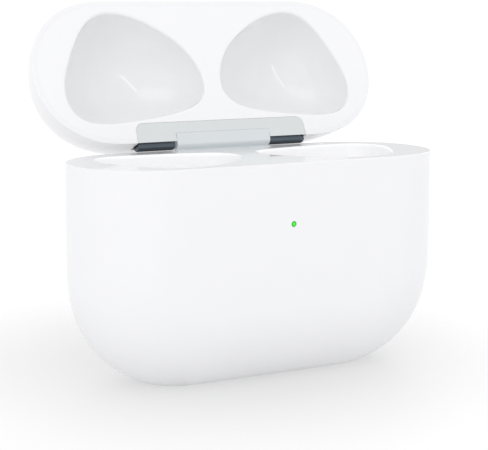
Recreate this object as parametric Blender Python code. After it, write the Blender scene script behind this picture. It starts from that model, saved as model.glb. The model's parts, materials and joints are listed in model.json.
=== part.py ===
"""Clamshell charging case for a pair of wireless earbuds, modelled with its lid open.

Units are metres, +Z is up and the front faces -Y. Every piece is drawn in the frame of the
closed case, whose foot stands at z = 0 with its middle on the Z axis. The lid's pieces hang
from an empty on the hinge axis that opens them, and the whole case hangs from one more empty
that centres its box on the origin.
"""
import math

import bmesh
import bpy
from mathutils import Matrix, Vector

MM = 0.001

# Outside of the closed case
WIDTH = 54.4 * MM
DEPTH = 21.3 * MM
HEIGHT = 44.8 * MM
FOOT_TRIM = 1.0 * MM        # how much of the rounded underside is cut off to make the flat foot
CORNER_RADIUS = 16.85 * MM  # corners of the front view
CORNER_POWER = 2.27
EDGE_RADIUS = 11.6 * MM     # roll-off from the front and back faces to the side
EDGE_POWER = 2.11
MIDDLE_Z = (HEIGHT - FOOT_TRIM) / 2
HALF_HEIGHT = (HEIGHT + FOOT_TRIM) / 2

# Split between body and lid
SPLIT_Z = 30.05 * MM
SEAM = 0.2 * MM
BODY_TOP = SPLIT_Z - SEAM / 2
LID_BASE = SPLIT_Z + SEAM / 2

# Shell walls
WALL = 1.4 * MM
LID_WALL = 0.95 * MM
FLOOR = 1.3 * MM
RIM = 0.7 * MM
RIM_HEIGHT = 1.3 * MM
INSERT_GAP = 0.15 * MM
PLATE = 1.0 * MM            # face plate of the tray and of the lid liner
CROWN_TIP = 0.02 * MM       # the lid's crown ends in a very small flat

# Hinge
HINGE_Y = 10.15 * MM
HINGE_Z = 31.35 * MM
OPEN_ANGLE = math.radians(114.5)
PIN_RADIUS = 0.4 * MM
PIN_BORE = 0.5 * MM
KNUCKLE_RADIUS = 1.36 * MM
KNUCKLE_FLAT = 1.3 * MM     # the knuckle's face is flattened to this distance from the pin
FLAT_FACING = math.radians(162)
KNUCKLE_HALF = 7.5 * MM
KNUCKLE_CLEARANCE = 0.07 * MM
BARREL_RADIUS = 1.15 * MM
BARREL_START = 7.75 * MM
BARREL_END = 13.35 * MM
HINGE_BACK = 11.1 * MM
LEAF_FRONT = 8.75 * MM      # the body bracket's leaf, below its neck
LEAF_BACK = 9.15 * MM
LEAF_FOOT = 25.9 * MM
LEAF_TOP = 30.05 * MM
NECK_FRONT = 9.45 * MM
NECK_BACK = 9.9 * MM
NECK_START = 28.95 * MM
PLATE_HALF = 13.55 * MM
PLATE_FRONT = 7.75 * MM
PLATE_BACK = 10.6 * MM
PLATE_CORNER = 1.25 * MM
PLATE_THICK = 0.35 * MM
LID_LEAF_FRONT = 8.15 * MM
LID_LEAF_BACK = 8.55 * MM
LID_LEAF_TOP = 35.8 * MM
PIN_HALF = 12.9 * MM

# Screws
SCREW_HOLE = 0.6 * MM
SCREW_HEAD = 1.0 * MM
SCREW_HEAD_HEIGHT = 0.5 * MM
SCREW_SHANK = 0.42 * MM
BRACKET_SCREW = (3.0 * MM, 7.1 * MM)   # x, y
LID_SCREW = (3.2 * MM, 34.2 * MM)      # x, z
BOARD_SCREW = (4.5 * MM, 9.0 * MM)     # x, z
PORT_SCREW = (2.4 * MM, 12.5 * MM)     # x, z

# Earbud wells and lid hollows, right-hand side; the left is the mirror image
HOLLOW_OUTLINE = [(1.5, 1.2), (3.3, -2.9), (6.7, -6.0), (10.6, -8.1), (14.9, -8.8), (18.6, -6.7),
                  (21.6, -1.5), (22.8, 3.2), (20.6, 6.9), (14.5, 7.4), (7.5, 6.5), (2.6, 4.7)]
HOLLOW_CENTRE = (13.2 * MM, 0.3 * MM)
HOLLOW_DEPTH = 9.2 * MM
WELL_SCALE = 0.95
WELL_DEPTH = 9.5 * MM
BORE_X = 10.0 * MM
BORE_RADIUS = 3.8 * MM
BORE_FLOOR = 6.0 * MM
SKIN = 0.8 * MM             # wall of the wells
LID_SKIN = 0.6 * MM         # wall of the lid's hollows

# Status light, setup button and charging inlet
LED_Z = 21.8 * MM
LED_RADIUS = 0.34 * MM
BUTTON_Z = 17.8 * MM
BUTTON_RADIUS = 2.55 * MM
INLET_LENGTH = 8.9 * MM
INLET_WIDTH = 3.1 * MM
INLET_COLLAR = 1.5 * MM
INLET_MOUTH = 1.6 * MM
INLET_BACK = 8.2 * MM

# Spring contacts
PIN_SPACING = 2.8 * MM
PIN_TIP = 6.9 * MM
CONTACT_HOLE = 0.5 * MM

# Electronics: the board stands behind the wells, the coil lies against the front wall
BOARD_FRONT = 5.6 * MM
BOARD_BACK = 6.35 * MM
BOARD_HALF = 13.0 * MM
PART_FRONT = 6.6 * MM       # where the parts soldered to the board begin
COIL_Z = 12.5 * MM
COIL_INNER = 3.0 * MM
COIL_OUTER = 6.2 * MM
CATCH_HEIGHT = (26.2 * MM, 28.6 * MM)
LID_MAGNET_HEIGHT = (31.5 * MM, 33.9 * MM)
CATCH_DEPTH = (-7.3 * MM, -5.3 * MM)
SENSOR_DEPTH = (-4.8 * MM, -3.6 * MM)
SMALL_BEVEL = 0.1 * MM

RING_STEPS = 40
OUTLINE_STEPS = 28
ROUND_STEPS = 16
HOLE_STEPS = 8

WHITE_GLOSS = ("white_gloss", (0.93, 0.93, 0.94), 0.12, 0.0)
WHITE_SATIN = ("white_satin", (0.92, 0.92, 0.93), 0.2, 0.0)
HINGE_METAL = ("hinge_metal", (0.66, 0.69, 0.70), 0.32, 1.0)
DARK_METAL = ("dark_metal", (0.09, 0.10, 0.12), 0.4, 1.0)
STEEL = ("steel", (0.62, 0.62, 0.63), 0.3, 1.0)
MAGNET = ("magnet", (0.5, 0.5, 0.52), 0.25, 1.0)
GOLD = ("gold", (0.9, 0.68, 0.32), 0.25, 1.0)
COPPER = ("copper", (0.72, 0.38, 0.22), 0.35, 1.0)
BOARD = ("board", (0.03, 0.14, 0.08), 0.5, 0.0)
BLACK = ("black_plastic", (0.03, 0.03, 0.035), 0.45, 0.0)
FERRITE = ("ferrite", (0.07, 0.07, 0.08), 0.7, 0.0)
CELL = ("cell_wrap", (0.35, 0.36, 0.38), 0.35, 1.0)
FLEX = ("flex", (0.55, 0.28, 0.08), 0.4, 0.0)
CLEAR = ("clear_guide", (0.85, 0.87, 0.86), 0.1, 0.0)
GREEN_LIGHT = ("green_light", (0.05, 0.85, 0.08), 0.3, 0.0)


# ---------------------------------------------------------------- scene helpers

def clear_scene():
    for old in list(bpy.data.objects):
        bpy.data.objects.remove(old, do_unlink=True)


def make_material(spec):
    name, colour, roughness, metallic = spec
    material = bpy.data.materials.get(name)
    if material is None:
        material = bpy.data.materials.new(name)
        material.use_nodes = True
        shader = material.node_tree.nodes["Principled BSDF"]
        shader.inputs["Base Color"].default_value = (*colour, 1.0)
        shader.inputs["Roughness"].default_value = roughness
        shader.inputs["Metallic"].default_value = metallic
    return material


def make_empty(name, location, parent=None):
    empty = bpy.data.objects.new(name, None)
    empty.location = location
    empty.parent = parent
    bpy.context.collection.objects.link(empty)
    return empty


def make_object(name, mesh_builder, spec, parent, origin=(0, 0, 0), frame=(0, 0, 0)):
    """Turn a bmesh drawn in the closed case's frame into an object.

    origin is the piece's own origin, and frame is where its parent stands in the closed case.
    """
    mesh = bpy.data.meshes.new(name)
    bmesh.ops.translate(mesh_builder, vec=-Vector(origin), verts=mesh_builder.verts)
    bmesh.ops.recalc_face_normals(mesh_builder, faces=mesh_builder.faces)
    mesh_builder.to_mesh(mesh)
    mesh_builder.free()
    mesh.shade_smooth()
    mesh.set_sharp_from_angle(angle=math.radians(35))
    piece = bpy.data.objects.new(name, mesh)
    piece.location = Vector(origin) - Vector(frame)
    piece.parent = parent
    bpy.context.collection.objects.link(piece)
    if spec is not None:
        mesh.materials.append(make_material(spec))
    return piece


def shape_with(piece, operation, *tools):
    """Add one Boolean per tool. The tools are drawn in the same frame as the piece's mesh."""
    for number, tool in enumerate(tools):
        tool_name = f"{piece.name}_{operation.lower()}_{number}"
        tool_object = make_object(tool_name, tool, None, piece.parent)
        tool_object.location = piece.location
        tool_object.hide_render = True
        tool_object.display_type = "WIRE"
        boolean = piece.modifiers.new(tool_object.name, "BOOLEAN")
        boolean.operation = operation
        boolean.solver = "EXACT"
        boolean.object = tool_object


# ---------------------------------------------------------------- mesh helpers

def skin_rings(rings, ring_closed=False):
    """Join equal rings of points with quads. The ends are capped unless ring_closed joins them."""
    mesh = bmesh.new()
    loops = [[mesh.verts.new(point) for point in ring] for ring in rings]
    pairs = list(zip(loops, loops[1:]))
    if ring_closed:
        pairs.append((loops[-1], loops[0]))
    else:
        mesh.faces.new(loops[0])
        mesh.faces.new(loops[-1])
    for low, high in pairs:
        for i in range(len(low)):
            j = (i + 1) % len(low)
            mesh.faces.new((low[i], low[j], high[j], high[i]))
    return mesh


def prism(outline, low, high):
    """Straight prism along Z from a list of (x, y)."""
    return skin_rings([[(x, y, z) for x, y in outline] for z in (low, high)])


def prism_x(outline, low, high):
    """Straight prism along X from a list of (y, z)."""
    return skin_rings([[(x, y, z) for y, z in outline] for x in (low, high)])


def box(low, high, bevel=0.0):
    low, high = Vector(low), Vector(high)
    mesh = bmesh.new()
    place = Matrix.Translation((low + high) / 2) @ Matrix.Diagonal((*(high - low), 1))
    bmesh.ops.create_cube(mesh, size=1.0, matrix=place)
    if bevel:
        bmesh.ops.bevel(mesh, geom=mesh.edges[:], offset=bevel, segments=1, affect="EDGES")
    return mesh


def turned(profile, axis="Z", centre=(0, 0, 0), steps=ROUND_STEPS, hollow=False):
    """Revolve (radius, height) points. hollow profiles are closed loops that miss the axis."""
    turn = {"X": Matrix.Rotation(math.pi / 2, 4, "Y"), "Y": Matrix.Rotation(-math.pi / 2, 4, "X"),
            "Z": Matrix.Identity(4)}[axis]
    place = Matrix.Translation(centre) @ turn
    angles = [2 * math.pi * (i + 0.5) / steps for i in range(steps)]
    rings = [[place @ Vector((r * math.cos(a), r * math.sin(a), h)) for a in angles] for r, h in profile]
    return skin_rings(rings, ring_closed=hollow)


def hole(radius, start, stop, axis="Z", centre=(0, 0, 0), steps=HOLE_STEPS):
    """Plain round cutter or boss from start to stop along its axis."""
    return turned([(radius, start), (radius, stop)], axis, centre, steps)


def stadium(length, width, steps=10):
    """Outline of a slot with round ends, as (x, y)."""
    radius = width / 2
    straight = length / 2 - radius
    points = []
    for side, start in ((1, -math.pi / 2), (-1, math.pi / 2)):
        for i in range(steps + 1):
            angle = start + math.pi * i / steps
            points.append((side * straight + radius * math.cos(angle), radius * math.sin(angle)))
    return points


def smooth_outline(points, steps=OUTLINE_STEPS):
    """Closed curve through the points, as evenly parted (x, y)."""
    count = len(points)
    curve = []
    for i in range(steps):
        place = i * count / steps
        k = int(place)
        t = place - k
        p0, p1, p2, p3 = (Vector(points[(k + j) % count]) for j in (-1, 0, 1, 2))
        curve.append(0.5 * (2 * p1 + (p2 - p0) * t + (2 * p0 - 5 * p1 + 4 * p2 - p3) * t ** 2
                            + (3 * p1 - p0 - 3 * p2 + p3) * t ** 3))
    return curve


# ---------------------------------------------------------------- pebble shape of the case

def half_depth(x, z, inset):
    """Half the thickness at (x, z) of the case shrunk by inset all round."""
    across = abs(x) - (WIDTH / 2 - CORNER_RADIUS)
    rise = abs(z - MIDDLE_Z) - (HALF_HEIGHT - CORNER_RADIUS)
    corner = (max(across, 0) ** CORNER_POWER + max(rise, 0) ** CORNER_POWER) ** (1 / CORNER_POWER)
    margin = CORNER_RADIUS - corner - min(max(across, rise), 0) - inset
    fall = 1 - min(max(margin / (EDGE_RADIUS - inset), 0), 1)
    return (DEPTH / 2 - inset) * max(1 - fall ** EDGE_POWER, 0) ** (1 / EDGE_POWER)


def half_width(z, inset):
    """Half the width at height z of the case shrunk by inset all round."""
    rise = abs(z - MIDDLE_Z) - (HALF_HEIGHT - CORNER_RADIUS)
    radius = CORNER_RADIUS - inset
    if rise <= 0:
        return WIDTH / 2 - inset
    reach = max(radius ** CORNER_POWER - rise ** CORNER_POWER, 0) ** (1 / CORNER_POWER)
    return WIDTH / 2 - CORNER_RADIUS + reach


def case_ring(z, inset=0.0):
    """Level ring of points round the case at height z."""
    width = half_width(z, inset)
    ring = []
    for i in range(RING_STEPS):
        angle = 2 * math.pi * i / RING_STEPS
        x = width * math.cos(angle)
        side = math.copysign(1, math.sin(angle)) if i % (RING_STEPS // 2) else 0
        ring.append((x, side * half_depth(x, z, inset), z))
    return ring


def edge_heights(inset, start, stop, steps):
    """Distances in from the crown or the underside, closer together where the edge curves most."""
    radius = EDGE_RADIUS - inset
    first = math.acos(1 - (start - inset) / radius)
    last = math.acos(1 - (stop - inset) / radius)
    return [inset + radius * (1 - math.cos(first + (last - first) * i / steps)) for i in range(steps + 1)]


# ---------------------------------------------------------------- shells

def body_cup():
    low = MIDDLE_Z - HALF_HEIGHT
    between = low + 14.3 * MM
    outer = [low + h for h in edge_heights(0.0, FOOT_TRIM, EDGE_RADIUS, 7)]
    outer += [between, low + CORNER_RADIUS, BODY_TOP]
    inner = [low + h for h in edge_heights(WALL, FOOT_TRIM + FLOOR, EDGE_RADIUS, 5)]
    inner += [low + CORNER_RADIUS, BODY_TOP - RIM_HEIGHT]
    rings = [case_ring(z) for z in outer]
    rings += [case_ring(BODY_TOP, RIM), case_ring(BODY_TOP - RIM_HEIGHT, RIM)]
    rings += [case_ring(z, WALL) for z in reversed(inner)]
    return skin_rings(rings)


def lid_cup():
    high = MIDDLE_Z + HALF_HEIGHT
    outer = [high - h for h in edge_heights(0.0, CROWN_TIP, EDGE_RADIUS, 8)]
    inner = [high - h for h in edge_heights(LID_WALL, LID_WALL + 2 * CROWN_TIP, EDGE_RADIUS, 6)]
    rings = [case_ring(z) for z in outer]
    rings += [case_ring(LID_BASE), case_ring(LID_BASE, RIM), case_ring(LID_BASE + RIM_HEIGHT, RIM),
              case_ring(LID_BASE + RIM_HEIGHT, LID_WALL)]
    rings += [case_ring(z, LID_WALL) for z in reversed(inner)]
    return skin_rings(rings)


def add_body_shell(case):
    shell = make_object("body_shell", body_cup(), WHITE_GLOSS, case)
    around_inlet = INLET_COLLAR + 0.4 * MM
    inlet_hole = prism(stadium(INLET_LENGTH + around_inlet, INLET_WIDTH + around_inlet), -MM, FLOOR + MM)
    light_hole = hole(LED_RADIUS + 0.08 * MM, 0, 3 * MM, "Y", (0, -DEPTH / 2 - MM, LED_Z), ROUND_STEPS)
    button_hole = hole(BUTTON_RADIUS + 0.2 * MM, 0, 3 * MM, "Y", (0, DEPTH / 2 - 2 * MM, BUTTON_Z), 24)
    shape_with(shell, "DIFFERENCE", button_hole, inlet_hole, light_hole)


def add_lid_shell(lid):
    shell = make_lid_object("lid_shell", lid_cup(), WHITE_GLOSS, lid)
    gap = 0.25 * MM
    hinge_gap = box((-PLATE_HALF - gap, HINGE_Y - 1.6 * MM, LID_BASE - MM),
                    (PLATE_HALF + gap, DEPTH, HINGE_Z + KNUCKLE_RADIUS + gap))
    shape_with(shell, "DIFFERENCE", in_lid_frame(hinge_gap))


# ---------------------------------------------------------------- lid placement

def in_lid_frame(mesh):
    bmesh.ops.translate(mesh, vec=-Vector((0, HINGE_Y, HINGE_Z)), verts=mesh.verts)
    return mesh


def make_lid_object(name, mesh, spec, lid):
    hinge = (0, HINGE_Y, HINGE_Z)
    return make_object(name, mesh, spec, lid, origin=hinge, frame=hinge)


# ---------------------------------------------------------------- moulded inserts

def face_plate(low, high):
    outline = [point[:2] for point in case_ring(SPLIT_Z, RIM + INSERT_GAP)]
    return prism(outline, low, high)


def side_outline(side, scale=1.0):
    """Outline of a well or hollow on one side, counter-clockwise or mirrored."""
    centre_x, centre_y = HOLLOW_CENTRE
    outline = []
    for x, y in smooth_outline(HOLLOW_OUTLINE):
        x, y = x * MM, y * MM
        outline.append((side * (centre_x + (x - centre_x) * scale), centre_y + (y - centre_y) * scale))
    return outline


def grown(outline, centre, amount):
    """Push every point of an outline away from its centre."""
    result = []
    for x, y in outline:
        away = Vector((x - centre[0], y - centre[1]))
        away.length += amount
        result.append((centre[0] + away.x, centre[1] + away.y))
    return result


def blend_outlines(wide, narrow, share):
    return [(n[0] + (w[0] - n[0]) * share, n[1] + (w[1] - n[1]) * share) for w, n in zip(wide, narrow)]


def well_rings(side, extra, top, bottom):
    """Rings of one earbud well: an egg-shaped bowl that narrows into a round stem bore."""
    centre = (side * BORE_X, 0.0)
    egg = grown(side_outline(side, WELL_SCALE), centre, extra)
    radius = BORE_RADIUS + extra
    circle = []
    for x, y in egg:
        towards = Vector((x - centre[0], y - centre[1])).normalized()
        circle.append((centre[0] + radius * towards.x, centre[1] + radius * towards.y))
    depth = WELL_DEPTH + extra
    rings = [[(x, y, top) for x, y in egg]]
    for share in (0.0, 0.25, 0.5, 0.7, 0.85, 0.95, 1.0):
        wide = (1 - share ** 1.8) ** 0.75
        z = BODY_TOP - depth * share
        rings.append([(x, y, z) for x, y in blend_outlines(egg, circle, wide)])
    rings.append([(x, y, bottom) for x, y in circle])
    return rings


def hollow_rings(side, extra, start):
    """Rings of one lid hollow: a dome over the egg-shaped opening."""
    centre = (side * HOLLOW_CENTRE[0], HOLLOW_CENTRE[1])
    egg = grown(side_outline(side), centre, extra)
    depth = HOLLOW_DEPTH + extra
    rings = [[(x, y, start) for x, y in egg]]
    for angle in (0, 15, 30, 45, 58, 70, 81):
        share = math.cos(math.radians(angle))
        z = LID_BASE + depth * math.sin(math.radians(angle))
        rings.append([(centre[0] + (x - centre[0]) * share, centre[1] + (y - centre[1]) * share, z)
                      for x, y in egg])
    return rings


def both_sides(value):
    return (-value, value)


def add_earbud_tray(case):
    tray = make_object("earbud_tray", face_plate(BODY_TOP - PLATE, BODY_TOP), WHITE_SATIN, case)
    plate_middle = BODY_TOP - PLATE / 2
    boss_foot = LEAF_FOOT + 0.75 * MM
    boss_radius = 1.2 * MM
    frame_back, frame_half = 4.6 * MM, 8 * MM
    solids = []
    for side in (-1, 1):
        rings = well_rings(side, SKIN, plate_middle, BORE_FLOOR - SKIN)
        solids.append(skin_rings(rings[:1] + rings[2:]))
    solids.append(box((-frame_half, 2.6 * MM, 7 * MM), (frame_half, frame_back, 21.5 * MM)))
    solids += [hole(boss_radius, boss_foot, plate_middle, centre=(x, BRACKET_SCREW[1], 0), steps=ROUND_STEPS)
               for x in both_sides(BRACKET_SCREW[0])]
    shape_with(tray, "UNION", *solids)

    cuts = [skin_rings(well_rings(side, 0.0, BODY_TOP + MM, BORE_FLOOR)) for side in (-1, 1)]
    slot_half = KNUCKLE_HALF + 0.25 * MM
    cuts.append(box((-slot_half, LEAF_FRONT - 0.15 * MM, 20 * MM), (slot_half, DEPTH, HINGE_Z)))
    cuts += [hole(SCREW_HOLE, boss_foot - MM, BODY_TOP - 1.35 * MM, centre=(x, BRACKET_SCREW[1], 0))
             for x in both_sides(BRACKET_SCREW[0])]
    cuts += [hole(SCREW_HOLE, 3.1 * MM, frame_back + MM, "Y", (x, 0, BOARD_SCREW[1]))
             for x in both_sides(BOARD_SCREW[0])]
    cuts += [hole(SCREW_HOLE, 2 * MM, 4.2 * MM, "Y", (x, 0, PORT_SCREW[1]))
             for x in both_sides(PORT_SCREW[0])]
    cuts += [hole(CONTACT_HOLE, 4 * MM, 7 * MM, centre=(x, 0, 0)) for x in contact_places()]
    shape_with(tray, "DIFFERENCE", *cuts)


def add_lid_liner(lid):
    liner = make_lid_object("lid_liner", face_plate(LID_BASE, LID_BASE + PLATE), WHITE_SATIN, lid)
    plate_middle = LID_BASE + PLATE / 2
    solids = []
    for side in (-1, 1):
        rings = hollow_rings(side, LID_SKIN, plate_middle)
        solids.append(skin_rings(rings[:1] + rings[2:]))
    boss_half, boss_front, boss_back = 4.5 * MM, 6.2 * MM, 7.9 * MM
    solids.append(box((-boss_half, boss_front, plate_middle),
                      (boss_half, boss_back, LID_LEAF_TOP + 0.2 * MM)))
    shape_with(liner, "UNION", *(in_lid_frame(solid) for solid in solids))

    cuts = [skin_rings(hollow_rings(side, 0.0, LID_BASE - MM)) for side in (-1, 1)]
    cuts.append(prism(plate_outline(0.15 * MM, DEPTH), LID_BASE - MM, LID_BASE + 0.95 * MM))
    cuts.append(box((-PLATE_HALF, LID_LEAF_FRONT - 0.17 * MM, LID_BASE - MM),
                    (PLATE_HALF, DEPTH, LID_LEAF_TOP + 2.2 * MM)))
    cuts += [hole(SCREW_HOLE, 6.5 * MM, 9 * MM, "Y", (x, 0, LID_SCREW[1])) for x in both_sides(LID_SCREW[0])]
    shape_with(liner, "DIFFERENCE", *(in_lid_frame(cut) for cut in cuts))


# ---------------------------------------------------------------- hinge

def knuckle_curl(first, last, steps):
    """Section of the knuckle round the pin, (y, z), round but for its flattened face."""
    curl = []
    for i in range(steps + 1):
        angle = first + (last - first) * i / steps
        reach = min(KNUCKLE_RADIUS, KNUCKLE_FLAT / max(math.cos(angle - FLAT_FACING), 0.5))
        curl.append((HINGE_Y + reach * math.cos(angle), HINGE_Z + reach * math.sin(angle)))
    return curl


def add_hinge_body_bracket(case):
    """Tongue screwed under the tray: it stands up behind it, jogs back and curls round the pin."""
    first = math.pi + math.acos((HINGE_Y - NECK_FRONT) / KNUCKLE_RADIUS)
    last = math.acos((HINGE_BACK - HINGE_Y) / KNUCKLE_RADIUS)
    shoulder = BODY_TOP + 0.2 * MM
    jog = NECK_BACK - LEAF_BACK
    profile = [(LEAF_BACK, LEAF_FOOT), (LEAF_FRONT, LEAF_FOOT), (LEAF_FRONT, LEAF_TOP),
               (NECK_FRONT, LEAF_TOP)]
    profile += knuckle_curl(first, last, 18)
    profile += [(HINGE_BACK, shoulder), (NECK_BACK, shoulder), (NECK_BACK, NECK_START + jog),
                (LEAF_BACK, NECK_START)]
    tongue = prism_x(profile, -KNUCKLE_HALF, KNUCKLE_HALF)
    bracket = make_object("hinge_body_bracket", tongue, HINGE_METAL, case)
    foot_half, foot_front = 4.4 * MM, 5.9 * MM
    foot_top = LEAF_FOOT + 0.45 * MM
    foot = box((-foot_half, foot_front, LEAF_FOOT), (foot_half, LEAF_FRONT + 0.2 * MM, foot_top))
    shape_with(bracket, "UNION", foot)
    bore = hole(PIN_BORE, -10 * MM, 10 * MM, "X", (0, HINGE_Y, HINGE_Z), ROUND_STEPS)
    screw_holes = [hole(SCREW_HOLE, LEAF_FOOT - MM, foot_top + MM, centre=(x, BRACKET_SCREW[1], 0))
                   for x in both_sides(BRACKET_SCREW[0])]
    shape_with(bracket, "DIFFERENCE", bore, *screw_holes)


def plate_outline(margin, back):
    """Outline of the lid's hinge plate seen from below, (x, y), with round front corners."""
    half, front, radius = PLATE_HALF + margin, PLATE_FRONT - margin, PLATE_CORNER + margin
    steps = 5
    outline = [(half, back), (-half, back)]
    for side, start in ((-1, math.pi), (1, 1.5 * math.pi)):
        for i in range(steps + 1):
            angle = start + math.pi / 2 * i / steps
            outline.append((side * (half - radius) + radius * math.cos(angle),
                            front + radius + radius * math.sin(angle)))
    return outline


def add_hinge_lid_plate(lid):
    """Plate in the lid's face with a leaf behind the liner, notched round the body's knuckle."""
    face = prism(plate_outline(0.0, PLATE_BACK), LID_BASE, LID_BASE + PLATE_THICK)
    plate = make_lid_object("hinge_lid_plate", face, HINGE_METAL, lid)
    leaf_half = PLATE_HALF - 0.15 * MM
    leaf = box((-leaf_half, LID_LEAF_FRONT, LID_BASE + PLATE_THICK / 2),
               (leaf_half, LID_LEAF_BACK, LID_LEAF_TOP))
    shape_with(plate, "UNION", in_lid_frame(leaf))
    reach = KNUCKLE_RADIUS + KNUCKLE_CLEARANCE
    notch_half = KNUCKLE_HALF + 0.15 * MM
    notch = hole(reach, -notch_half, notch_half, "X", (0, HINGE_Y, HINGE_Z), 32)
    rear_notch = box((-notch_half, HINGE_Y, LID_BASE - MM), (notch_half, DEPTH, HINGE_Z))
    screw_holes = [hole(SCREW_HOLE, 7 * MM, 9.5 * MM, "Y", (x, 0, LID_SCREW[1]))
                   for x in both_sides(LID_SCREW[0])]
    shape_with(plate, "DIFFERENCE", *(in_lid_frame(cut) for cut in (notch, rear_notch, *screw_holes)))


def add_hinge_barrel(lid, name, side):
    """Dark knuckle of the lid, bored for the pin and chambered for its spring."""
    vent, chamber = 0.1 * MM, 0.65 * MM
    end_wall, outer_stop = BARREL_END - 0.3 * MM, BARREL_END - 0.7 * MM
    inner_stop = BARREL_START + 0.6 * MM
    profile = [(BARREL_RADIUS, BARREL_START), (BARREL_RADIUS, BARREL_END), (vent, BARREL_END),
               (vent, end_wall), (PIN_BORE, end_wall), (PIN_BORE, outer_stop), (chamber, outer_stop),
               (chamber, inner_stop), (PIN_BORE, inner_stop), (PIN_BORE, BARREL_START)]
    rings = [(r, side * x) for r, x in profile]
    barrel = make_lid_object(name, turned(rings, "X", (0, HINGE_Y, HINGE_Z), hollow=True), DARK_METAL, lid)
    flat_top = LID_BASE + PLATE_THICK + 0.1 * MM
    flat = box((-WIDTH, HINGE_Y - 2 * MM, LID_BASE - MM), (WIDTH, HINGE_Y + 2 * MM, flat_top))
    shape_with(barrel, "DIFFERENCE", in_lid_frame(flat))


def add_hinge_spring(lid, name, side):
    """Torsion spring in the chamber of a barrel, as a wound wire."""
    turns, steps, wire, radius = 4, 8, 0.07 * MM, 0.57 * MM
    start, length = BARREL_START + 0.9 * MM, 3.6 * MM
    along = Vector((side, 0, 0))
    rings = []
    for i in range(turns * steps + 1):
        angle = 2 * math.pi * i / steps
        across = Vector((0, math.cos(angle), math.sin(angle)))
        reach = start + length * i / (turns * steps)
        centre = Vector((0, HINGE_Y, HINGE_Z)) + reach * along + radius * across
        rings.append([centre + wire * (math.cos(a) * across + math.sin(a) * along)
                      for a in (0, math.pi / 2, math.pi, 3 * math.pi / 2)])
    make_lid_object(name, skin_rings(rings), STEEL, lid)


# ---------------------------------------------------------------- fasteners and contacts

def add_screw(name, parent, centre, axis, flip, length, lid=False):
    """Pan head screw with a round socket, its head from the seat at centre up and its shank down."""
    top, edge, bottom = SCREW_HEAD_HEIGHT, SCREW_HEAD_HEIGHT * 0.6, SCREW_HEAD_HEIGHT * 0.4
    socket = SCREW_HEAD * 0.4
    profile = [(SCREW_SHANK, -length), (SCREW_SHANK, 0), (SCREW_HEAD, 0), (SCREW_HEAD, edge),
               (SCREW_HEAD * 0.75, top), (socket, top), (socket, bottom)]
    profile = [(r, -h if flip else h) for r, h in profile]
    mesh = turned(profile, axis, centre, steps=10)
    if lid:
        make_lid_object(name, mesh, STEEL, parent)
    else:
        make_object(name, mesh, STEEL, parent)


def contact_places():
    return [side * BORE_X + step * PIN_SPACING / 2 for side in (-1, 1) for step in (-1, 1)]


def add_contacts(case):
    half, deep, low, high = 3.1 * MM, 2 * MM, 1.7 * MM, 4.9 * MM
    for word, side in (("left", -1), ("right", 1)):
        x = side * BORE_X
        block = box((x - half, -deep, low), (x + half, deep, high), 2 * SMALL_BEVEL)
        block_object = make_object(f"contact_block_{word}", block, BLACK, case)
        wells = [turned([(0.75 * MM, low + 0.7 * MM), (0.75 * MM, high + MM)],
                        centre=(x + step * PIN_SPACING / 2, 0, 0)) for step in (-1, 1)]
        shape_with(block_object, "DIFFERENCE", *wells)
    shank, collar = 0.4 * MM, 0.6 * MM
    collar_low, collar_high = 4.3 * MM, 4.7 * MM
    profile = [(shank, 3.0 * MM), (shank, collar_low), (collar, collar_low), (collar, collar_high),
               (shank, collar_high), (shank, PIN_TIP - 0.25 * MM), (shank * 0.8, PIN_TIP - 0.1 * MM),
               (shank * 0.4, PIN_TIP)]
    names = ("left_outer", "left_inner", "right_inner", "right_outer")
    for name, x in zip(names, contact_places()):
        make_object(f"contact_pin_{name}", turned(profile, centre=(x, 0, 0), steps=10), GOLD, case,
                    origin=(x, 0, PIN_TIP))


# ---------------------------------------------------------------- light, button and inlet

def add_status_light(case):
    front = (0, -DEPTH / 2, LED_Z)
    make_object("led_lens", hole(LED_RADIUS, 0.04 * MM, 1.1 * MM, "Y", front, ROUND_STEPS), GREEN_LIGHT, case)
    nose, flange = 0.55 * MM, 0.9 * MM
    guide = turned([(nose, 1.5 * MM), (flange, 1.85 * MM), (flange, 2.6 * MM)], "Y", front)
    make_object("light_guide", guide, CLEAR, case)
    package = box((-0.8 * MM, -7.75 * MM, LED_Z - 0.5 * MM), (0.8 * MM, -7.15 * MM, LED_Z + 0.5 * MM),
                  SMALL_BEVEL)
    make_object("led_package", package, GREEN_LIGHT, case)
    board = box((-2.8 * MM, -6.95 * MM, LED_Z - 1.9 * MM), (2.8 * MM, -6.55 * MM, LED_Z + 2.2 * MM))
    make_object("led_board", board, FLEX, case)


def add_setup_button(case):
    face = DEPTH / 2 - 0.05 * MM
    flange, nub = 3.2 * MM, 0.8 * MM
    flange_front, flange_back = 8.5 * MM, 9.05 * MM
    chamfer = 0.1 * MM
    profile = [(nub, flange_front - 0.22 * MM), (nub, flange_front), (flange, flange_front),
               (flange, flange_back), (BUTTON_RADIUS, flange_back), (BUTTON_RADIUS, face - chamfer),
               (BUTTON_RADIUS - chamfer, face)]
    make_object("setup_button", turned(profile, "Y", (0, 0, BUTTON_Z), steps=24), WHITE_GLOSS, case,
                origin=(0, face, BUTTON_Z))
    half, body_back, dome = 1.7 * MM, 7.5 * MM, 0.9 * MM
    switch = make_object("button_switch", box((-half, BOARD_BACK + 0.3 * MM, BUTTON_Z - half),
                                              (half, body_back, BUTTON_Z + half), 0.15 * MM), BLACK, case)
    shape_with(switch, "UNION", turned([(dome, body_back - 0.3 * MM), (dome, body_back + 0.3 * MM),
                                        (dome * 0.8, body_back + 0.42 * MM)], "Y", (0, 0, BUTTON_Z)))


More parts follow.
